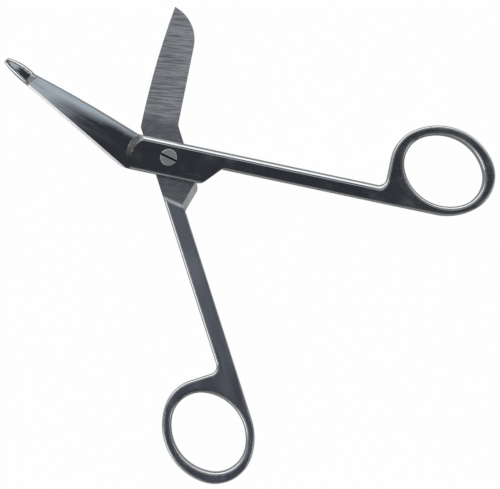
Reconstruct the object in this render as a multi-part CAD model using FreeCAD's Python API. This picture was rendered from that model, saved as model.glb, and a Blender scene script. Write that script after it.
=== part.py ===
import FreeCAD, Part
import math
import os

from FreeCAD import Vector

# Bandage scissors, 140 mm long when closed, drop forged in two halves and joined by a slotted screw.
# Frame: origin on the pivot axis at the face that rests on the table, +Z up.
# +X runs along the inner edge of the probe half's handle towards its ring, +Y to that half's outer side.
# Each half is built with its own lap in the upper layer and its handle along +X. The short half is
# then turned over about X, which puts its lap underneath, and swung open about the pivot.
# A place on a blade is given as reach, along the blade from the pivot, and side, across it.

# Thickness and the lap joint
thickness = 4.2
lap_gap = 0.05
joint_inner = 5.2

# Handles: gap between the two inner edges when closed, shank, ring
closing_gap = 0.2
shank_width = 4.7
ring_centre = 74.8
ring_length = 29.4
ring_width = 24.5
ring_lean = 8.0
ring_end_wall = 3.25
ring_side_wall = 2.75
ring_hole_lean = 19.5
ring_hole_shift = 0.25
ring_root_round = 2.2

# Stop: a slanting shoulder on each shank that meets the other half's ear
stop_place = 15.1
stop_angle = 48.0
stop_gap = 0.12
stop_cove = 1.4
ear_bevel = 1.6
ear_tip_round = 2.4
ear_root_round = 0.8

# Edge rounds: outer face, face on the joint's side, outside of the ring, its hole, and the least
# flat left between those two, then the inner edges
outer_edge_round = 1.9
lower_edge_round = 1.0
ring_edge_round = 0.9
hole_edge_round = 1.2
ring_flat = 0.05
shank_inner_round = 0.5
joint_edge_round = 0.9
ear_edge_round = 0.3
round_blend = 14.0

# Shoulder between the joint's flat face and the blade, a low cone
shoulder_place = (-4.45, -1.4)
shoulder_top_radius = 5.7
shoulder_foot_radius = 7.8
shoulder_drop = 0.9

# Both blades
blade_angle = 28.9
face_bulge = 0.1
spine_bevel = 0.5
edge_bevel_angle = 50.0
edge_land = 0.06
hollow_radius = 60.0
hollow_start = 9.7
hollow_depth = 0.12

# Probe blade: reach and side of its corners, thickness at spine and cutting edge
probe_spine_side = -10.45
probe_edge_root = (10.85, -0.47)
probe_edge_end = (43.4, -6.65)
probe_edge_bulge = 0.35
probe_root_thick = (1.45, 0.95)
probe_end_thick = (1.25, 0.45)
probe_elbow_round = 9.0

# Probe: a blunt spatula set across the end of the blade, in four sections
probe_reaches = (42.3, 43.6, 46.6, 51.8)
probe_heights = (3.6, 3.85, 3.8, 1.65)
probe_widths = (0.9, 4.2, 4.1, 2.4)
probe_rounds = (0.3, 1.25, 1.2, 0.7)
probe_tip_lift = 0.7
probe_middle = 2.35
probe_tip_round = 0.4

# Short blade
short_spine_side = 0.65
short_edge_root = (7.0, -9.35)
short_tip = (41.8, -6.6)
short_edge_bulge = 0.65
short_nose_start = 32.0
short_root_thick = (1.45, 0.95)
short_tip_thick = (1.05, 0.5)
short_elbow_round = 3.0

# Pivot screw
screw_radius = 1.5
screw_head_radius = 2.3
screw_head_sunk = 0.75
screw_head_proud = 0.22
screw_edge = 0.12
slot_width = 0.55
slot_depth = 0.5
slot_angle = -13.7
pivot_clearance = 0.03
thread_clearance = 0.01
head_clearance = 0.05
head_seat_gap = 0.02

# How far the scissors stand open at rest, in degrees
rest_opening = 60.3

# How far cuts run past what they cut, in mm and in degrees, and how close an edge is looked for
spare = 2.0
spare_turn = 1.0
near_enough = 0.01

# Values that follow from these
inner_edge = closing_gap / 2
outer_edge = inner_edge + shank_width
lap_floor = (thickness + lap_gap) / 2
blade_sine = math.sin(math.radians(blade_angle))
blade_cosine = math.cos(math.radians(blade_angle))
stop_slope = math.tan(math.radians(stop_angle))
quarter_turn = 90
half_turn = 2 * quarter_turn
full_turn = 4 * quarter_turn
facing_inward = -quarter_turn
facing_back = half_turn

document = FreeCAD.newDocument("scissors")


# Plan outlines

def flat(x, y, z=0.0):
    return Vector(x, y, z)


def corner_round(before, corner, after, radius):
    # Tangent points and middle of the arc that rounds one corner of a path
    into = (corner - before).normalize()
    away = (after - corner).normalize()
    half_bend = into.getAngle(away) / 2
    trim = radius * math.tan(half_bend)
    start = corner - into * trim
    end = corner + away * trim
    bisector = (away - into).normalize()
    middle = corner + bisector * (radius / math.cos(half_bend) - radius)
    return start, middle, end


def rounded_path(corners):
    # Edges of an open path through corners given as (point, radius)
    edges = []
    last = corners[0][0]
    for before, here, after in zip(corners, corners[1:], corners[2:]):
        point, radius = here
        if radius > 0:
            start, middle, end = corner_round(before[0], point, after[0], radius)
            edges.append(Part.LineSegment(last, start).toShape())
            edges.append(Part.Arc(start, middle, end).toShape())
            last = end
        else:
            edges.append(Part.LineSegment(last, point).toShape())
            last = point
    edges.append(Part.LineSegment(last, corners[-1][0]).toShape())
    return edges


def prism(edges, bottom, top):
    wire = Part.Wire(Part.__sortEdges__(edges))
    body = Part.Face(wire).extrude(Vector(0, 0, top - bottom))
    body.translate(Vector(0, 0, bottom))
    return body


def closed_path(corners):
    return [Part.makeLine(here, after) for here, after in zip(corners, corners[1:] + corners[:1])]


def bulged_arc(start, end, bulge, inside):
    # Arc between two points that stands out on the side away from a third
    along = end - start
    across = Vector(-along.y, along.x, 0).normalize()
    middle = (start + end) * 0.5
    if across.dot(inside - middle) > 0:
        across = -across
    return Part.Arc(start, middle + across * bulge, end).toShape()


# Finger ring

class RingOval:
    # Oval of four arcs, two at its ends and two at its sides, whose far end leans to the inner side
    def __init__(self, length, width, lean, centre):
        self.half_length = length / 2
        self.half_width = width / 2
        self.lean = lean
        self.centre = centre
        share = math.cos(math.radians(quarter_turn / 2))
        rest = 1 - share
        self.end_radius = (share * self.half_width - rest * self.half_length) / (share - rest)
        self.side_radius = (share * self.half_length - rest * self.half_width) / (share - rest)

    def point(self, facing):
        # The point that faces this way, in degrees to the left of +X
        local = math.radians(facing + self.lean)
        along, across = math.cos(local), math.sin(local)
        if abs(along) > abs(across):
            radius = self.end_radius
            middle = flat(math.copysign(1, along) * (self.half_length - radius), 0)
        else:
            radius = self.side_radius
            middle = flat(0, math.copysign(1, across) * (self.half_width - radius))
        place = middle + flat(along, across) * radius
        turn = math.radians(-self.lean)
        along_x = flat(math.cos(turn), math.sin(turn))
        along_y = flat(-math.sin(turn), math.cos(turn))
        return self.centre + along_x * place.x + along_y * place.y

    def arcs(self, start, end):
        # The arcs between two facings, going round to the left
        joints = [self.first_joint() + quarter * quarter_turn for quarter in range(4)]
        stops = [start] + [joint for joint in joints if start < joint < end] + [end]
        return [Part.Arc(self.point(here), self.point((here + after) / 2), self.point(after)).toShape()
                for here, after in zip(stops, stops[1:])]

    def first_joint(self):
        return -quarter_turn / 2 - self.lean

    def reach_towards(self, facing):
        way = math.radians(facing)
        return self.point(facing).dot(flat(math.cos(way), math.sin(way)))


def ring_ovals():
    # Outside of the ring, which touches the closing line, and its hole
    outside = RingOval(ring_length, ring_width, ring_lean, flat(ring_centre, 0))
    outside.centre = flat(ring_centre, inner_edge - outside.point(facing_inward).y)
    hole_length = ring_length - 2 * ring_end_wall
    hole_width = ring_width - 2 * ring_side_wall
    hole_centre = outside.centre + flat(ring_hole_shift, 0)
    return outside, RingOval(hole_length, hole_width, ring_hole_lean, hole_centre)


def ring_rounds():
    # Edge rounds of the ring's outside and hole, which its narrowest wall limits
    outside, hole = ring_ovals()
    walls = [outside.reach_towards(facing) - hole.reach_towards(facing) for facing in range(full_turn)]
    room = min(1, (min(walls) - ring_flat) / (ring_edge_round + hole_edge_round))
    return ring_edge_round * room, hole_edge_round * room


# Handle and joint

def shoulder_meets(side_y):
    # Where the shoulder's foot crosses a line along the handle
    rise = side_y - shoulder_place[1]
    return shoulder_place[0] - math.sqrt(shoulder_foot_radius ** 2 - rise ** 2)


def stop_point(side_y, gap=0.0):
    # A point on the stop line, which leans back from the handle line on both sides of it
    reach = stop_place + gap / math.sin(math.radians(stop_angle))
    return flat(reach - abs(side_y) / stop_slope, side_y)


def handle_plan():
    # Outline of joint, ear, shank and ring, going round to the left from the joint's inner edge
    oval, _ = ring_ovals()
    low = oval.point(facing_inward)
    back = oval.point(facing_back)
    upper_end = flat(shoulder_meets(outer_edge), outer_edge)
    lower_end = flat(shoulder_meets(-joint_inner), -joint_inner)
    shoulder_middle = flat(shoulder_place[0] - shoulder_foot_radius, shoulder_place[1])
    blend_start = flat(low.x - round_blend, inner_edge)
    ear_root = flat(stop_place + inner_edge / stop_slope, inner_edge)
    inner_side = rounded_path([
        (lower_end, 0),
        (stop_point(-joint_inner), ear_tip_round),
        (ear_root, ear_root_round),
        (blend_start, 0)])
    outer_side = rounded_path([
        (back, 0),
        (flat(back.x, outer_edge), ring_root_round),
        (upper_end, 0)])
    blend = Part.LineSegment(blend_start, low).toShape()
    ring = oval.arcs(facing_inward, facing_back)
    shoulder = Part.Arc(upper_end, shoulder_middle, lower_end).toShape()
    return inner_side + [blend] + ring + outer_side + [shoulder]


def edge_rounds(outer_round, ring, ring_edges):
    # Start and end radius along each outline edge, in the order of handle_plan
    inner = shank_inner_round
    return [
        (joint_edge_round, joint_edge_round),
        (joint_edge_round, ear_edge_round),
        (ear_edge_round, ear_edge_round),
        (ear_edge_round, inner),
        (inner, inner),
        (inner, ring)
    ] + [(ring, ring)] * ring_edges + [
        (ring, ring),
        (ring, outer_round),
        (outer_round, outer_round)]


def middle_of(edge):
    return edge.valueAt((edge.FirstParameter + edge.LastParameter) / 2)


def edges_near(shape, place):
    return [number for number, edge in enumerate(shape.Edges, 1)
            if middle_of(edge).distanceToPoint(place) < near_enough]


def rounded(shape, radii):
    # Rounds edges given as (number, start radius, end radius)
    base = document.addObject("Part::Feature", "Blank")
    base.Shape = shape
    fillet = document.addObject("Part::Fillet", "Rounds")
    fillet.Base = base
    fillet.Edges = radii
    document.recompute()
    return fillet.Shape.copy()


def handle_blank():
    # Shank, ring and joint at full thickness, with all their edges rounded
    plan = handle_plan()
    outside, hole = ring_ovals()
    ring_edges = len(outside.arcs(facing_inward, facing_back))
    rim = hole.arcs(hole.first_joint(), hole.first_joint() + full_turn)
    blank = prism(plan, 0, thickness)
    blank = blank.cut(prism(rim, -spare, thickness + spare))
    ring, inside = ring_rounds()
    radii = []
    for level, outer_round in ((thickness, outer_edge_round), (0, lower_edge_round)):
        rounds = list(zip(plan, edge_rounds(outer_round, ring, ring_edges)))
        rounds += [(edge, (inside, inside)) for edge in rim]
        for edge, (start, end) in rounds:
            place = middle_of(edge) + Vector(0, 0, level)
            radii += [(number, start, end) for number in edges_near(blank, place)]
    return rounded(blank, radii)


def lap_recess():
    # Space for the other half's joint, with a cove where it ends at the stop
    near = stop_point(inner_edge, stop_gap)
    far = stop_point(outer_edge + spare, stop_gap)
    left = shoulder_place[0] - shoulder_foot_radius - spare
    low = -joint_inner - spare
    corners = [near, far, flat(left, far.y), flat(left, low), flat(near.x, low)]
    space = prism(closed_path(corners), -spare, lap_floor)
    coved = edges_near(space, (near + far) * 0.5 + Vector(0, 0, lap_floor))
    return rounded(space, [(number, stop_cove, stop_cove) for number in coved])


def ear_relief():
    # Slope under the ear's slanting edge, which clears the other half's cove
    along = (stop_point(-joint_inner) - stop_point(0)).normalize()
    inward = Vector(along.y, -along.x, 0)
    start = stop_point(0) - along * spare
    corners = [(ear_bevel + spare, -spare), (-spare, -spare), (-spare, ear_bevel + spare)]
    points = [start + inward * side + Vector(0, 0, lap_floor + rise) for side, rise in corners]
    wedge = Part.Face(Part.makePolygon(points + points[:1])).extrude(along * (joint_inner * 2 + spare))
    below = Part.makeBox(4 * joint_inner, 4 * joint_inner, thickness + 2 * spare)
    below.translate(Vector(0, inner_edge - 4 * joint_inner, -spare))
    return wedge.common(below)


def shoulder_cut():
    # What is ground away around the end of the joint's flat face
    foot = shoulder_foot_radius + spare
    slope = shoulder_drop / (shoulder_foot_radius - shoulder_top_radius)
    profile = [
        Vector(shoulder_top_radius, 0, thickness),
        Vector(foot, 0, thickness - slope * (foot - shoulder_top_radius)),
        Vector(foot, 0, thickness + spare),
        Vector(shoulder_top_radius, 0, thickness + spare)]
    face = Part.Face(Part.makePolygon(profile + profile[:1]))
    face.rotate(Vector(), Vector(0, 0, 1), quarter_turn)
    cut = face.revolve(Vector(), Vector(0, 0, 1), half_turn)
    cut.translate(flat(*shoulder_place))
    return cut


# Blades

class Blade:
    # bend is 1 when the blade leans to the handle's outer side, -1 when it leans to the inner side
    def __init__(self, bend, spine_side, edge_root, edge_end, bulge, root_thick, end_thick):
        self.bend = bend
        self.spine_side = spine_side
        self.edge_root = edge_root
        self.edge_end = edge_end
        self.bulge = bulge
        self.root_thick = root_thick
        self.end_thick = end_thick

    def point(self, reach, side, rise=0.0):
        x = -reach * blade_cosine + side * blade_sine
        y = self.bend * (reach * blade_sine + side * blade_cosine)
        return Vector(x, y, rise)

    def share(self, reach, start, end):
        part = (reach - self.edge_root[0]) / (self.edge_end[0] - self.edge_root[0])
        return start + (end - start) * part

    def edge_side(self, reach):
        return self.share(reach, self.edge_root[1], self.edge_end[1])

    def face_line(self, reach):
        # The outer face at a reach: points past the spine and past the edge
        spine_rise = self.share(reach, self.root_thick[0], self.end_thick[0])
        edge_rise = self.share(reach, self.root_thick[1], self.end_thick[1])
        edge_side = self.edge_side(reach)
        width = edge_side - self.spine_side
        slope = (edge_rise - spine_rise) / width
        over = math.copysign(spare, width)
        return [(self.spine_side - over, lap_floor + spine_rise - slope * over),
                (edge_side + over, lap_floor + edge_rise + slope * over)]

    def face_cut(self):
        # Everything above the slanting, slightly crowned outer face
        wires = []
        for reach in (0.0, self.edge_end[0] + 2 * spare):
            (first_side, first_rise), (last_side, last_rise) = self.face_line(reach)
            first = self.point(reach, first_side, first_rise)
            last = self.point(reach, last_side, last_rise)
            crown = (first + last) * 0.5 + Vector(0, 0, face_bulge)
            top = thickness + 2 * spare
            last_top = self.point(reach, last_side, top)
            first_top = self.point(reach, first_side, top)
            wires.append(Part.Wire([
                Part.Arc(first, crown, last).toShape(),
                Part.makeLine(last, last_top),
                Part.makeLine(last_top, first_top),
                Part.makeLine(first_top, first)]))
        return Part.makeLoft(wires, True, True)

    def spine_cut(self):
        # Narrow bevel along the spine
        inward = math.copysign(1, self.edge_root[1] - self.spine_side)
        wires = []
        for reach in (0.0, self.edge_end[0] + 2 * spare):
            rise = lap_floor + self.share(reach, self.root_thick[0], self.end_thick[0])
            points = [self.point(reach, self.spine_side + inward * side, rise - spine_bevel + lift)
                      for side, lift in [(-spare, -spare), (spine_bevel + spare, spine_bevel + spare),
                                         (-spare, spine_bevel + spare)]]
            wires.append(Part.makePolygon(points + points[:1]))
        return Part.makeLoft(wires, True, True)

    def edge_curve(self):
        start = self.point(*self.edge_root)
        end = self.point(*self.edge_end)
        return bulged_arc(start, end, self.bulge, self.point(self.edge_root[0], self.spine_side))

    def edge_cut(self):
        # Sharpening bevel, a cone about the centre of the cutting edge's arc
        arc = self.edge_curve().Curve
        lean = math.tan(math.radians(edge_bevel_angle))
        out = arc.Radius + spare
        into = arc.Radius - spare
        low = lap_floor + edge_land
        profile = [Vector(out, 0, low - spare * lean), Vector(into, 0, low + spare * lean),
                   Vector(out, 0, low + spare * lean)]
        face = Part.Face(Part.makePolygon(profile + profile[:1]))
        aim = self.point(*self.edge_root) - arc.Center
        toward = self.point(*self.edge_end) - arc.Center
        start = math.degrees(math.atan2(aim.y, aim.x))
        turn = (math.degrees(math.atan2(toward.y, toward.x)) - start + half_turn) % full_turn - half_turn
        margin = math.copysign(spare_turn, turn)
        face.rotate(Vector(), Vector(0, 0, 1), start - margin)
        cut = face.revolve(Vector(), Vector(0, 0, 1), turn + 2 * margin)
        cut.translate(Vector(arc.Center.x, arc.Center.y, 0))
        return cut

    def hollow_cut(self):
        # Hollow grinding of the flat side, shallower towards the tip
        start_side = (self.spine_side + self.edge_side(hollow_start)) / 2
        end_side = (self.spine_side + self.edge_side(self.edge_end[0])) / 2
        narrowing = (self.edge_side(self.edge_end[0]) - self.spine_side) / (
            self.edge_side(hollow_start) - self.spine_side)
        start = self.point(hollow_start, start_side, lap_floor + hollow_depth - hollow_radius)
        end_depth = hollow_depth * narrowing ** 2
        end = self.point(self.edge_end[0], end_side, lap_floor + end_depth - hollow_radius)
        way = end - start
        return Part.makeCylinder(hollow_radius, way.Length + 4 * spare, start, way)


def spine_corner(blade):
    # Where the blade's spine meets the joint's inner edge
    reach = (-joint_inner * blade.bend - blade.spine_side * blade_cosine) / blade_sine
    return blade.point(reach, blade.spine_side)


def root_path(blade):
    # Inside the joint, from the inner edge round to the start of the cutting edge
    neck = flat(shoulder_meets(outer_edge), outer_edge)
    heel = flat(shoulder_place[0], -joint_inner)
    inside = flat(shoulder_place[0], shoulder_place[1])
    return heel, [heel, inside, neck, blade.point(*blade.edge_root)]


def lines_through(points):
    return [Part.makeLine(here, after) for here, after in zip(points, points[1:])]


def probe_outline():
    blade = probe_blade
    heel, root = root_path(blade)
    spine_end = blade.point(probe_reaches[1], blade.spine_side)
    spine = [blade.point(*blade.edge_end), spine_end, spine_corner(blade), heel]
    return [blade.edge_curve()] + lines_through(spine) + lines_through(root)


def short_outline():
    # The nose is an arc from the tip that runs into the straight spine
    blade = short_blade
    heel, root = root_path(blade)
    along = short_tip[0] - short_nose_start
    across = blade.spine_side - short_tip[1]
    radius = (along ** 2 + across ** 2) / (2 * across)
    half_bend = math.asin(along / radius) / 2
    middle = blade.point(short_nose_start + radius * math.sin(half_bend),
                         blade.spine_side - radius * (1 - math.cos(half_bend)))
    start = blade.point(short_nose_start, blade.spine_side)
    nose = Part.Arc(blade.point(*short_tip), middle, start).toShape()
    spine = rounded_path([(start, 0), (spine_corner(blade), short_elbow_round), (heel, 0)])
    return [blade.edge_curve(), nose] + spine + lines_through(root)


def ground_plate(blade, outline):
    # One blade in the lap's layer, ground on its outer face, spine and edge
    plate = prism(outline, lap_floor, thickness)
    for cut in (blade.face_cut(), blade.spine_cut(), blade.edge_cut()):
        plate = plate.cut(cut)
    return plate


def elbow_cut():
    # Rounds the corner between the probe half's joint and its spine
    corner = spine_corner(probe_blade)
    heel = flat(shoulder_place[0], -joint_inner)
    along = probe_blade.point(probe_reaches[0], probe_spine_side)
    start, middle, end = corner_round(heel, corner, along, probe_elbow_round)
    arc = Part.Arc(start, middle, end).toShape()
    low = -joint_inner - spare
    outside = lines_through([end, flat(end.x, low), flat(start.x, low), start])
    return prism([arc] + outside, -spare, thickness + spare)


# Probe

def rounded_section(reach, low_side, height, middle, width, radius):
    # Rectangle with round corners across the blade at one reach
    top = low_side + height
    corners = [(low_side, middle - width / 2), (top, middle - width / 2),
               (top, middle + width / 2), (low_side, middle + width / 2)]
    points = [probe_blade.point(reach, side, rise) for side, rise in corners]
    rounds = [corner_round(before, here, after, radius)
              for before, here, after in zip(points[-1:] + points, points, points[1:] + points[:1])]
    edges = []
    for here, after in zip(rounds, rounds[1:] + rounds[:1]):
        edges.append(Part.Arc(*here).toShape())
        edges.append(Part.makeLine(here[-1], after[0]))
    return Part.Wire(edges)


def probe_solid():
    sections = []
    lifts = (0, 0, 0, probe_tip_lift)
    middles = (lap_floor + probe_widths[0] / 2,) + (probe_middle,) * 3
    for reach, height, width, radius, lift, middle in zip(
            probe_reaches, probe_heights, probe_widths, probe_rounds, lifts, middles):
        side = probe_spine_side + lift
        sections.append(rounded_section(reach, side, height, middle, width, radius))
    step = Part.makeLoft(sections[:2], True, True)
    paddle = Part.makeLoft(sections[1:], True, False)
    tip = probe_blade.point(probe_reaches[-1], 0).dot(probe_blade.point(1, 0))
    end_edges = [(number, probe_tip_round, probe_tip_round) for number, edge in enumerate(paddle.Edges, 1)
                 if abs(middle_of(edge).dot(probe_blade.point(1, 0)) - tip) < near_enough]
    return step.fuse(rounded(paddle, end_edges))


# Halves and screw

def half(blade, outline):
    body = handle_blank()
    for cut in (lap_recess(), ear_relief(), shoulder_cut()):
        body = body.cut(cut)
    body = body.fuse(ground_plate(blade, outline))
    return body.cut(blade.hollow_cut())


def pivot_hole(radius, bottom):
    return Part.makeCylinder(radius, thickness + 2 * spare, Vector(0, 0, bottom))


def probe_blade_half():
    body = half(probe_blade, probe_outline())
    body = body.cut(elbow_cut()).fuse(probe_solid())
    body = body.cut(pivot_hole(screw_radius + pivot_clearance, -spare))
    seat = thickness - screw_head_sunk - head_seat_gap
    return body.cut(pivot_hole(screw_head_radius + head_clearance, seat)).removeSplitter()


def short_blade_half():
    body = half(short_blade, short_outline())
    body = body.cut(pivot_hole(screw_radius + thread_clearance, -spare)).removeSplitter()
    body.rotate(Vector(0, 0, thickness / 2), Vector(1, 0, 0), half_turn)
    body.rotate(Vector(), Vector(0, 0, 1), -rest_opening)
    return body


def pivot_screw():
    seat = thickness - screw_head_sunk
    head_height = screw_head_sunk + screw_head_proud
    body = Part.makeCylinder(screw_head_radius, head_height, Vector(0, 0, seat))
    body = body.makeChamfer(screw_edge, [edge for edge in body.Edges if middle_of(edge).z > thickness])
    shank = Part.makeCylinder(screw_radius, seat)
    shank = shank.makeChamfer(screw_edge, [edge for edge in shank.Edges if middle_of(edge).z < screw_edge])
    slot = Part.makeBox(2 * screw_head_radius + spare, slot_width, spare)
    slot.translate(Vector(-screw_head_radius - spare / 2, -slot_width / 2, seat + head_height - slot_depth))
    slot.rotate(Vector(), Vector(0, 0, 1), slot_angle)
    return body.fuse(shank).cut(slot)


probe_blade = Blade(1, probe_spine_side, probe_edge_root, probe_edge_end, probe_edge_bulge,
                    probe_root_thick, probe_end_thick)
short_blade = Blade(-1, short_spine_side, short_edge_root, short_tip, short_edge_bulge,
                    short_root_thick, short_tip_thick)

nodes = {
    "probe_blade_half": probe_blade_half(),
    "short_blade_half": short_blade_half(),
    "pivot_screw": pivot_screw()}

os.makedirs("parts", exist_ok=True)
for name, shape in nodes.items():
    solid = shape.Solids[0] if len(shape.Solids) == 1 else shape
    print(name, "solids", len(shape.Solids), "valid", shape.isValid(), "volume", round(shape.Volume, 1))
    solid.exportStep("parts/" + name + ".step")
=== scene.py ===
import math

import bpy
from mathutils import Matrix, Vector

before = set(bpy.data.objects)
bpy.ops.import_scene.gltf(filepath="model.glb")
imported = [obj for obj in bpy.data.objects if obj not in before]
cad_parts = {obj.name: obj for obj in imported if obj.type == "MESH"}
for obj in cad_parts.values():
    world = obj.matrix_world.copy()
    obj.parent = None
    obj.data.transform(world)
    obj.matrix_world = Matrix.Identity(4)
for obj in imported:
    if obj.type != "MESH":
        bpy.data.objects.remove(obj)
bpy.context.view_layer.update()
print("frame loaded")


def mm(value):
    # Millimetres to the scene's metres
    return value / 1000


def hexColour(text):
    # sRGB hex to the linear colour that shaders use
    channels = [int(text[i:i + 2], 16) / 255 for i in (1, 3, 5)]
    return [c / 12.92 if c <= 0.04045 else ((c + 0.055) / 1.055) ** 2.4 for c in channels] + [1]


def addNode(tree, kind, inputs=None, **settings):
    # One node; an input given as a node takes its first output, as a pair the named one
    node = tree.nodes.new(kind)
    for name, value in settings.items():
        setattr(node, name, value)
    for name, value in (inputs or {}).items():
        socket = node.inputs[name]
        if isinstance(value, tuple) and isinstance(value[0], bpy.types.Node):
            tree.links.new(value[0].outputs[value[1]], socket)
        elif isinstance(value, bpy.types.Node):
            tree.links.new(value.outputs[0], socket)
        else:
            socket.default_value = value
    return node


def newMaterial(name):
    material = bpy.data.materials.new(name)
    material.use_nodes = True
    material.node_tree.nodes.clear()
    return material, material.node_tree


def setStops(ramp, stops):
    # Colour stops as (position, grey or colour)
    elements = ramp.color_ramp.elements
    while len(elements) > 1:
        elements.remove(elements[-1])
    for i, (position, value) in enumerate(stops):
        element = elements[0] if i == 0 else elements.new(position)
        element.position = position
        element.color = [value, value, value, 1] if isinstance(value, (int, float)) else value


# Mirror-polished stainless steel: forged, ground and buffed, so it shows the room with a faint ripple
polish = {
    "colour": "#C9CACC",
    "roughness": 0.07,
    "hazeRoughness": 0.34,       # where the polish has gone dull
    "hazeSize": 5.0,             # mm
    "hazeRange": (0.42, 0.85),   # levels of the noise where the haze sets in and is full
    "scuffSpacing": 0.7,         # mm, drawn coarser than the real 0.05 so that scuffs show in the picture
    "scuffTurn": 62.0,           # degrees between scuffs and handle
    "scuffStretch": 0.12,        # the smaller, the longer the scuffs
    "scuffFrom": 0.66,           # level of the noise from which scuffs show
    "buffStretch": 0.05,         # buffing lines, along the piece
    "buffFrom": 0.62,
    "lineFade": 0.08,            # how softly scuffs and buffing lines set in
    "lineDullness": 0.5,         # and how dull they are, where 1 is as dull as the haze
    "rippleSize": 7.0,           # mm, long ripple that the forging leaves under the polish
    "rippleDepth": 0.045,        # mm
    "rippleStretch": 1.0,        # below 1 ripple and haze are drawn out along the piece
    "pitSpacing": 2.2,           # mm
    "pitRadius": 0.14,           # mm
    "wearFade": (46.0, 70.0),    # mm along the handle
    "jointWear": 0.0,            # added roughness
    "ringWear": 0.14,
}


def dullShare(tree, settings, turned, rippleMap):
    # From 0 on clean polish to 1 in haze, scuffs, buffing lines and pits
    haze = addNode(tree, "ShaderNodeTexNoise", {
        "Vector": rippleMap, "Scale": 1 / mm(settings["hazeSize"]), "Detail": 4.0, "Roughness": 0.55})
    hazeStart, hazeFull = settings["hazeRange"]
    dull = addNode(tree, "ShaderNodeMapRange", {
        "Value": (haze, "Fac"), "From Min": hazeStart, "From Max": hazeFull, "To Min": 0.0, "To Max": 1.0})
    buffMap = addNode(tree, "ShaderNodeMapping", {
        "Vector": turned, "Scale": (settings["buffStretch"], 1.0, 1.0)})
    scuffTurned = addNode(tree, "ShaderNodeMapping", {
        "Vector": turned, "Rotation": (0, 0, math.radians(-settings["scuffTurn"]))})
    scuffMap = addNode(tree, "ShaderNodeMapping", {
        "Vector": scuffTurned, "Scale": (settings["scuffStretch"], 1.0, 1.0)})
    shares = []
    for lineMap, start in ((buffMap, settings["buffFrom"]), (scuffMap, settings["scuffFrom"])):
        lines = addNode(tree, "ShaderNodeTexNoise", {
            "Vector": lineMap, "Scale": 1 / mm(settings["scuffSpacing"]), "Detail": 3.0, "Roughness": 0.6})
        shares.append(addNode(tree, "ShaderNodeMapRange", {
            "Value": (lines, "Fac"), "From Min": start, "From Max": start + settings["lineFade"],
            "To Min": 0.0, "To Max": settings["lineDullness"]}))
    pits = addNode(tree, "ShaderNodeTexVoronoi", {"Vector": turned, "Scale": 1 / mm(settings["pitSpacing"])})
    pitEdge = settings["pitRadius"] / settings["pitSpacing"]
    shares.append(addNode(tree, "ShaderNodeMapRange", {
        "Value": (pits, "Distance"), "From Min": pitEdge, "From Max": 0.5 * pitEdge,
        "To Min": 0.0, "To Max": 1.0}))
    for share in shares:
        dull = addNode(tree, "ShaderNodeMath", {0: dull, 1: share}, operation="ADD", use_clamp=True)
    return dull


def crownedNormal(tree, settings, place, below):
    # The face rounds off towards the cutting edge, most of all at the blade's root
    across = addNode(tree, "ShaderNodeMapRange", {
        "Value": (place, "Y"), "From Min": mm(settings["crownFrom"]), "From Max": mm(settings["crownTo"]),
        "To Min": 0.0, "To Max": 1.0})
    rounding = addNode(tree, "ShaderNodeMath", {0: across, 1: 2.0}, operation="POWER")
    faded, full = settings["crownFade"]
    rootShare = addNode(tree, "ShaderNodeMapRange", {
        "Value": (place, "X"), "From Min": mm(faded), "From Max": mm(full), "To Min": 0.0, "To Max": 1.0})
    crown = addNode(tree, "ShaderNodeMath", {0: rounding, 1: rootShare}, operation="MULTIPLY")
    return addNode(tree, "ShaderNodeBump", {
        "Height": crown, "Strength": 1.0, "Distance": mm(settings["crownDepth"]), "Normal": below},
        invert=True)


def polishedSteel(name, settings, turn):
    # turn is in degrees and brings the handle or blade to the X axis; ripple and buffing lines run along it
    material, tree = newMaterial(name)
    coords = addNode(tree, "ShaderNodeTexCoord")
    turned = addNode(tree, "ShaderNodeMapping", {
        "Vector": (coords, "Object"), "Rotation": (0, 0, math.radians(turn))})
    place = addNode(tree, "ShaderNodeSeparateXYZ", {"Vector": turned})
    rippleMap = addNode(tree, "ShaderNodeMapping", {
        "Vector": turned, "Scale": (settings["rippleStretch"], 1.0, 1.0)})
    ripple = addNode(tree, "ShaderNodeTexNoise", {
        "Vector": rippleMap, "Scale": 1 / mm(settings["rippleSize"]), "Detail": 2.0, "Roughness": 0.4})
    normal = addNode(tree, "ShaderNodeBump", {
        "Height": (ripple, "Fac"), "Strength": 1.0, "Distance": mm(settings["rippleDepth"])})
    if "crownDepth" in settings:
        normal = crownedNormal(tree, settings, place, normal)
    gloss = addNode(tree, "ShaderNodeMapRange", {
        "Value": dullShare(tree, settings, turned, rippleMap),
        "To Min": settings["roughness"], "To Max": settings["hazeRoughness"]})
    # The finish changes along the handle, because fingers rub the ring
    start, end = settings["wearFade"]
    wear = addNode(tree, "ShaderNodeMapRange", {
        "Value": (place, "X"), "From Min": mm(start), "From Max": mm(end),
        "To Min": settings["jointWear"], "To Max": settings["ringWear"]}, interpolation_type="SMOOTHSTEP")
    gloss = addNode(tree, "ShaderNodeMath", {0: gloss, 1: wear}, operation="ADD")
    shader = addNode(tree, "ShaderNodeBsdfPrincipled", {
        "Base Color": hexColour(settings["colour"]), "Metallic": 1.0,
        "Roughness": gloss, "Normal": normal})
    addNode(tree, "ShaderNodeOutputMaterial", {"Surface": shader})
    return material


# Satin steel: the flats on the joint's side are only belt-ground, so they spread the light and look grey
satin = {
    **polish,
    "colour": "#C6C8D2",
    "hazeRoughness": 0.27,
    "hazeSize": 2.6,
    "rippleStretch": 0.15,
    "jointWear": 0.33,
    "ringWear": 0.24,
}

# Coarsely polished steel: a wheel hardly reaches the step's cove and the ear's bevel, so they stay milky
cove = {
    **polish,
    "wearFade": (15.5, 19.0),    # mm along the handle
    "jointWear": 0.3,
    "ringWear": 0.0,
}

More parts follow.
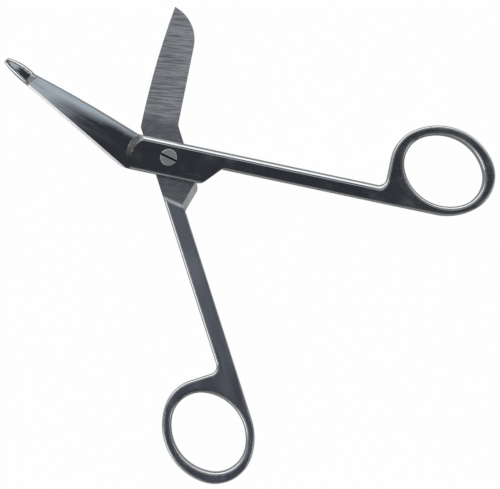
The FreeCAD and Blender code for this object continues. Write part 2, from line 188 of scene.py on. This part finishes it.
# Buffed blade: ground along its length and then polished, so it shows the room in long streaks
shortBlade = {
    **polish,
    "taper": 0.0,                # degrees that the streaks are turned from the blade's line
    "rippleSize": 2.6,           # mm across the blade
    "rippleStretch": 0.1,
    "rippleDepth": 0.03,         # mm
    "hazeSize": 3.0,
}
longBlade = {
    **shortBlade,
    "taper": 10.8,               # along its cutting edge
    "crownFrom": -1.0,           # mm across, where the rounding starts
    "crownTo": 1.6,              # mm across, at the cutting edge
    "crownFade": (-38.0, -12.0),     # mm along the blade, from the tip to the root
    "crownDepth": 0.13,          # mm
}

# Surface-ground stainless steel: the wheel's lines run across the blade and spread the light along it.
# In the joint the other half has rubbed them into faint arcs round the screw, which shine a little more
grinding = {
    "brightColour": "#FDFDFE",
    "darkColour": "#A4A6AB",
    "toneRange": (0.38, 0.57),   # levels of the noise that are dark and bright
    "roughness": 0.5,
    "lineSpacing": 0.22,         # mm, coarser than the real 0.1 so that the lines show in the picture
    "lineStretch": 0.035,        # the smaller, the longer the lines
    "lineTurn": 6.0,             # degrees that the lines lean from straight across the blade
    "lineDepth": 0.012,          # mm
    "rubbedFade": (8.6, 11.4),   # mm along the blade
    "rubbedWander": 3.0,         # mm, how unevenly the rubbed part ends
    "rubbedBright": "#DCDCDD",
    "rubbedDark": "#C2C2C4",
    "rubbedRange": (0.4, 0.62),
    "rubbedRoughness": 0.38,
    "arcSpacing": 0.7,           # mm
    "arcBreak": 2.5,             # how fast an arc changes on its way round
}


def rubbedArcs(tree, settings, place):
    # Noise that is even along circles round the screw
    flat = addNode(tree, "ShaderNodeCombineXYZ", {"X": (place, "X"), "Y": (place, "Y")})
    radius = addNode(tree, "ShaderNodeVectorMath", {0: flat}, operation="LENGTH")
    outward = addNode(tree, "ShaderNodeMath", {0: (radius, "Value"), 1: 1 / mm(settings["arcSpacing"])},
                      operation="MULTIPLY")
    bearing = addNode(tree, "ShaderNodeMath", {0: (place, "Y"), 1: (place, "X")}, operation="ARCTAN2")
    around = addNode(tree, "ShaderNodeMath", {0: bearing, 1: settings["arcBreak"]}, operation="MULTIPLY")
    arcMap = addNode(tree, "ShaderNodeCombineXYZ", {"X": outward, "Y": around})
    return addNode(tree, "ShaderNodeTexNoise", {
        "Vector": arcMap, "Scale": 1.0, "Detail": 4.0, "Roughness": 0.5})


def groundSteel(name, settings, turn):
    # turn is in degrees and brings the blade to the Y axis; the lines are drawn out along X
    material, tree = newMaterial(name)
    coords = addNode(tree, "ShaderNodeTexCoord")
    turned = addNode(tree, "ShaderNodeMapping", {
        "Vector": (coords, "Object"), "Rotation": (0, 0, math.radians(turn))})
    place = addNode(tree, "ShaderNodeSeparateXYZ", {"Vector": turned})
    leaned = addNode(tree, "ShaderNodeMapping", {
        "Vector": turned, "Rotation": (0, 0, math.radians(-settings["lineTurn"]))})
    lineMap = addNode(tree, "ShaderNodeMapping", {
        "Vector": leaned, "Scale": (settings["lineStretch"], 1.0, settings["lineStretch"])})
    lines = addNode(tree, "ShaderNodeTexNoise", {
        "Vector": lineMap, "Scale": 1 / mm(settings["lineSpacing"]), "Detail": 4.0, "Roughness": 0.7})
    darkLevel, brightLevel = settings["toneRange"]
    tone = addNode(tree, "ShaderNodeValToRGB", {"Fac": (lines, "Fac")})
    setStops(tone, [(darkLevel, hexColour(settings["darkColour"])),
                    (brightLevel, hexColour(settings["brightColour"]))])
    arcs = rubbedArcs(tree, settings, place)
    darkLevel, brightLevel = settings["rubbedRange"]
    rubbedTone = addNode(tree, "ShaderNodeValToRGB", {"Fac": (arcs, "Fac")})
    setStops(rubbedTone, [(darkLevel, hexColour(settings["rubbedDark"])),
                          (brightLevel, hexColour(settings["rubbedBright"]))])
    # The same noise shifts the border between rubbed and freshly ground steel
    wander = settings["rubbedWander"]
    start, end = (mm(reach + wander / 2) for reach in settings["rubbedFade"])
    border = addNode(tree, "ShaderNodeMath", {0: (arcs, "Fac"), 1: mm(wander), 2: (place, "Y")},
                     operation="MULTIPLY_ADD")
    groundShare = addNode(tree, "ShaderNodeMapRange", {
        "Value": border, "From Min": start, "From Max": end, "To Min": 0.0, "To Max": 1.0},
        interpolation_type="SMOOTHSTEP")
    colour = addNode(tree, "ShaderNodeMix", {0: groundShare, 6: rubbedTone, 7: tone}, data_type="RGBA")
    gloss = addNode(tree, "ShaderNodeMapRange", {
        "Value": groundShare, "To Min": settings["rubbedRoughness"], "To Max": settings["roughness"]})
    bump = addNode(tree, "ShaderNodeBump", {
        "Height": (lines, "Fac"), "Strength": groundShare, "Distance": mm(settings["lineDepth"])})
    shader = addNode(tree, "ShaderNodeBsdfPrincipled", {
        "Base Color": (colour, "Result"), "Metallic": 1.0, "Roughness": gloss, "Normal": bump})
    addNode(tree, "ShaderNodeOutputMaterial", {"Surface": shader})
    return material


# Both halves are cut to the same pattern, so a face gets its finish from where it lies in the half's own
# frame (handle along +X, outer face up) and from how much it points up there, from -1 to 1
halfShape = {
    "thickness": 4.2,            # mm
    "bladeAngle": 28.9,          # degrees between handle and blade
    "openAngle": 60.3,           # degrees that the short half stands open
    "lapFloor": 2.125,           # mm, height of the flat inner side
    "lapFloorMargin": 0.2,       # mm, because the blade's flat side is hollow
    "lapFloorUp": -0.98,
    "backHeight": 0.05,          # mm, the flats on the joint's side lie below this
    "backUp": -0.99,
    "bladeStart": 8.7,           # mm along the blade, where its outer face starts
    "bladeUp": 0.94,
    "coveSpan": (4.0, 19.0),     # mm along the handle, where step and ear lie
    "coveUp": (-0.98, -0.1),
    "coveTilt": 0.2,             # least slant along the handle
}


def ownTurn(shortHalf):
    # The short half lies turned and upside down
    if not shortHalf:
        return Matrix.Identity(3)
    return Matrix.Diagonal((1, -1, -1)) @ Matrix.Rotation(math.radians(halfShape["openAngle"]), 3, "Z")


def bladeReach(place, shortHalf):
    angle = math.radians(halfShape["bladeAngle"])
    bend = -1 if shortHalf else 1
    return -place.x * math.cos(angle) + bend * place.y * math.sin(angle)


def faceFinish(place, facing, reach):
    onFloor = abs(place.z - halfShape["lapFloor"]) < halfShape["lapFloorMargin"]
    if onFloor and facing.z < halfShape["lapFloorUp"]:
        return "ground"
    if place.z < halfShape["backHeight"] and facing.z < halfShape["backUp"]:
        return "satin"
    if reach > halfShape["bladeStart"] and facing.z > halfShape["bladeUp"]:
        return "blade"
    start, end = halfShape["coveSpan"]
    least, most = halfShape["coveUp"]
    if start < place.x < end and least < facing.z < most and abs(facing.x) > halfShape["coveTilt"]:
        return "cove"
    return "polished"


def dressHalf(node, shortHalf):
    swing = halfShape["openAngle"] if shortHalf else 0
    blade = shortBlade if shortHalf else longBlade
    bladeTurn = swing + halfShape["bladeAngle"]
    finishes = {
        "polished": polishedSteel("polishedSteel" + node.name, polish, swing),
        "ground": groundSteel("crossGroundSteel" + node.name, grinding, bladeTurn - 90),
        "satin": polishedSteel("satinSteel" + node.name, satin, swing),
        "blade": polishedSteel("buffedBladeSteel" + node.name, blade, bladeTurn - blade["taper"]),
        "cove": polishedSteel("coarselyPolishedSteel" + node.name, cove, swing),
    }
    mesh = node.data
    mesh.materials.clear()
    for material in finishes.values():
        mesh.materials.append(material)
    slots = list(finishes)
    counts = dict.fromkeys(slots, 0)
    turn = ownTurn(shortHalf)
    foot = Vector((0, 0, halfShape["thickness"] if shortHalf else 0))
    for face in mesh.polygons:
        place = turn @ face.center * 1000 + foot
        finish = faceFinish(place, turn @ face.normal, bladeReach(place, shortHalf))
        face.material_index = slots.index(finish)
        counts[finish] += 1
    print("dressed", node.name, counts)


dressHalf(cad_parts["probe_blade_half"], False)
dressHalf(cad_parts["short_blade_half"], True)

# Turned steel: left as it comes off the lathe, so the head looks duller and lighter than the polished joint
screwHead = {
    **polish,
    "colour": "#DAD9D8",
    "roughness": 0.5,
    "hazeRoughness": 0.6,
    "radius": 2.3,               # mm
    "slotFloor": 3.92,           # mm, height of the slot's floor
    "rimMargin": 0.06,           # mm, what lies nearer the rim isn't in the slot
    "floorMargin": 0.05,         # mm, what lies deeper than this under the slot's floor isn't either
    "topMargin": 0.2,            # mm above the slot's floor, where the head's top starts
    # painted shade: the dark grey that stands in for the shade inside the screw's slot
    "slotShadeColour": "#2A2A2B",
}


def dressScrew(node, settings):
    # Painted shade: the slot's recess gets a dark grey, barely metallic material, so it is drawn as a dark
    # line standing in for the shade that falls inside it
    slotShade, tree = newMaterial("paintedShadeScrewSlot")
    shader = addNode(tree, "ShaderNodeBsdfPrincipled", {
        "Base Color": hexColour(settings["slotShadeColour"]), "Metallic": 0.3, "Roughness": 0.6})
    addNode(tree, "ShaderNodeOutputMaterial", {"Surface": shader})
    mesh = node.data
    mesh.materials.clear()
    mesh.materials.append(polishedSteel("turnedSteelScrew", settings, 0))
    mesh.materials.append(slotShade)
    for face in mesh.polygons:
        place = face.center * 1000
        aboveFloor = place.z - settings["slotFloor"]
        fromRim = settings["radius"] - place.xy.length
        inSlot = aboveFloor > -settings["floorMargin"] and fromRim > settings["rimMargin"]
        onTop = face.normal.z > 0.5 and aboveFloor > settings["topMargin"]
        face.material_index = 1 if inSlot and not onTop else 0
    print("dressed", node.name)


dressScrew(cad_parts["pivot_screw"], screwHead)

# Studio: white paper under the scissors and a light tent round them, open and dark overhead
studio = {
    "cameraTurn": 12.0,          # degrees that the picture's right-hand direction turns from +X
    "cameraDistance": 450.0,     # mm
    "cameraLean": (-1.0, -3.4),  # degrees towards the picture's right and top
    "cameraTarget": (26.87, -18.69, 2.1),    # mm
    "frameWidth": 137.86,        # mm across the picture at the target
    "sensorWidth": 36.0,         # mm
    "cameraReach": (0.01, 20.0),     # m, nearest and farthest that it draws
    "floorSize": 3.0,            # m
    "floorColour": "#F4F4F4",
    "floorGlow": 0.985,          # how white the floor is kept for the camera
    "floorMirrorGlow": 0.1,      # and for the steel, which shows more of the shadow beside itself
    "tentLean": 8.0,             # degrees that the tent's opening leans towards the picture's bottom
    "openingColour": "#3B3D43",  # what stands dark over the table, seen in every flat face
    "bandColour": "#A0A9B0",     # light band round the opening
    "bandDegrees": (26, 33, 40, 43),     # from the opening's middle: where it starts, is full, and ends
    "gapGrey": 0.08,             # dark gap between band and tent
    "tentDegrees": (61, 66),
    "walls": (                   # light all round: degrees from the picture's top towards its left, and level
        (-180, 0.3), (-150, 0.3), (-136, 0.1), (-130, 0.12), (-124, 0.95), (-108, 0.95), (-88, 0.3),
        (-35, 1.2), (-10, 1.7), (50, 1.7), (78, 0.5), (94, 0.5), (105, 2.1), (122, 2.1), (134, 0.9),
        (160, 0.7), (175, 0.3)),
}


def makeFloor(settings):
    # Matt white paper: even and bright, with the scissors' shadow on it
    bpy.ops.object.select_all(action="DESELECT")
    bpy.ops.mesh.primitive_plane_add(size=settings["floorSize"], location=(0, 0, 0))
    floor = bpy.context.object
    floor.name = "floor"
    material, tree = newMaterial("mattWhitePaper")
    diffuse = addNode(tree, "ShaderNodeBsdfDiffuse", {"Color": hexColour(settings["floorColour"])})
    glow = addNode(tree, "ShaderNodeEmission", {"Color": (1, 1, 1, 1), "Strength": 1.0})
    path = addNode(tree, "ShaderNodeLightPath")
    mirrored = addNode(tree, "ShaderNodeMath", {0: (path, "Is Glossy Ray"), 1: (path, "Is Transmission Ray")},
                       operation="MAXIMUM")
    mirrorShare = addNode(tree, "ShaderNodeMath", {0: mirrored, 1: settings["floorMirrorGlow"]},
                          operation="MULTIPLY")
    glowShare = addNode(tree, "ShaderNodeMath", {
        0: (path, "Is Camera Ray"), 1: settings["floorGlow"], 2: mirrorShare}, operation="MULTIPLY_ADD")
    shader = addNode(tree, "ShaderNodeMixShader", {"Fac": glowShare, 1: diffuse, 2: glow})
    addNode(tree, "ShaderNodeOutputMaterial", {"Surface": shader})
    floor.data.materials.append(material)
    print("floor laid")


def tentLight(tree, settings, coords, turn):
    # Colour of the light by how far it stands from the opening's middle, and the share that the walls change
    lean = math.radians(settings["tentLean"])
    axis = Vector((math.sin(turn) * math.sin(lean), -math.cos(turn) * math.sin(lean), math.cos(lean)))
    along = addNode(tree, "ShaderNodeVectorMath", {0: (coords, "Generated"), 1: axis},
                    operation="DOT_PRODUCT")
    angle = addNode(tree, "ShaderNodeMath", {0: (along, "Value")}, operation="ARCCOSINE")
    share = addNode(tree, "ShaderNodeMath", {0: angle, 1: math.pi}, operation="DIVIDE")
    bandStart, bandFull, bandEnd, gapStart = (degrees / 180 for degrees in settings["bandDegrees"])
    tentStart, tentFull = (degrees / 180 for degrees in settings["tentDegrees"])
    opening, band = (hexColour(settings[name]) for name in ("openingColour", "bandColour"))
    gap = settings["gapGrey"]
    colour = addNode(tree, "ShaderNodeValToRGB", {"Fac": share})
    setStops(colour, [(bandStart, opening), (bandFull, band), (bandEnd, band),
                      (gapStart, gap), (tentStart, gap), (tentFull, 1.0)])
    outside = addNode(tree, "ShaderNodeMapRange", {
        "Value": share, "From Min": bandStart, "From Max": bandFull, "To Min": 0.0, "To Max": 1.0})
    return colour, outside


def wallLevel(tree, settings, coords, turn):
    # Level of the light by its direction in the picture
    turned = addNode(tree, "ShaderNodeVectorRotate", {
        "Vector": (coords, "Generated"), "Angle": -turn}, rotation_type="Z_AXIS")
    compass = addNode(tree, "ShaderNodeSeparateXYZ", {"Vector": turned})
    leftward = addNode(tree, "ShaderNodeMath", {0: (compass, "X"), 1: -1.0}, operation="MULTIPLY")
    way = addNode(tree, "ShaderNodeMath", {0: leftward, 1: (compass, "Y")}, operation="ARCTAN2")
    wayShare = addNode(tree, "ShaderNodeMath", {0: way, 1: 0.5 / math.pi, 2: 0.5}, operation="MULTIPLY_ADD")
    walls = addNode(tree, "ShaderNodeValToRGB", {"Fac": wayShare})
    walls.color_ramp.interpolation = "EASE"
    brightest = max(level for degrees, level in settings["walls"])
    setStops(walls, [(degrees / 360 + 0.5, level / brightest) for degrees, level in settings["walls"]])
    return addNode(tree, "ShaderNodeMath", {0: walls, 1: brightest}, operation="MULTIPLY")


def makeWorld(settings):
    world = bpy.data.worlds.new("lightTent")
    bpy.context.scene.world = world
    world.use_nodes = True
    tree = world.node_tree
    tree.nodes.clear()
    turn = math.radians(settings["cameraTurn"])
    coords = addNode(tree, "ShaderNodeTexCoord")
    colour, outside = tentLight(tree, settings, coords, turn)
    level = wallLevel(tree, settings, coords, turn)
    strength = addNode(tree, "ShaderNodeMix", {0: outside, 2: 1.0, 3: level}, data_type="FLOAT")
    light = addNode(tree, "ShaderNodeBackground", {"Color": colour, "Strength": strength})
    addNode(tree, "ShaderNodeOutputWorld", {"Surface": light})
    print("light tent set up")


def makeCamera(settings):
    turn = math.radians(settings["cameraTurn"])
    right = Vector((math.cos(turn), math.sin(turn), 0))
    up = Vector((-math.sin(turn), math.cos(turn), 0))
    leanRight, leanUp = (math.tan(math.radians(degrees)) for degrees in settings["cameraLean"])
    back = (Vector((0, 0, 1)) + right * leanRight + up * leanUp).normalized()
    side = (right - back * right.dot(back)).normalized()
    data = bpy.data.cameras.new("camera")
    data.sensor_width = settings["sensorWidth"]
    data.lens = settings["sensorWidth"] * settings["cameraDistance"] / settings["frameWidth"]
    data.clip_start, data.clip_end = settings["cameraReach"]
    camera = bpy.data.objects.new("camera", data)
    bpy.context.scene.collection.objects.link(camera)
    camera.location = Vector(mm(c) for c in settings["cameraTarget"]) + back * mm(settings["cameraDistance"])
    camera.rotation_euler = Matrix((side, back.cross(side), back)).transposed().to_euler()
    bpy.context.scene.camera = camera
    print("camera set up")


makeFloor(studio)
makeWorld(studio)
makeCamera(studio)
bpy.context.scene.view_settings.view_transform = "Standard"
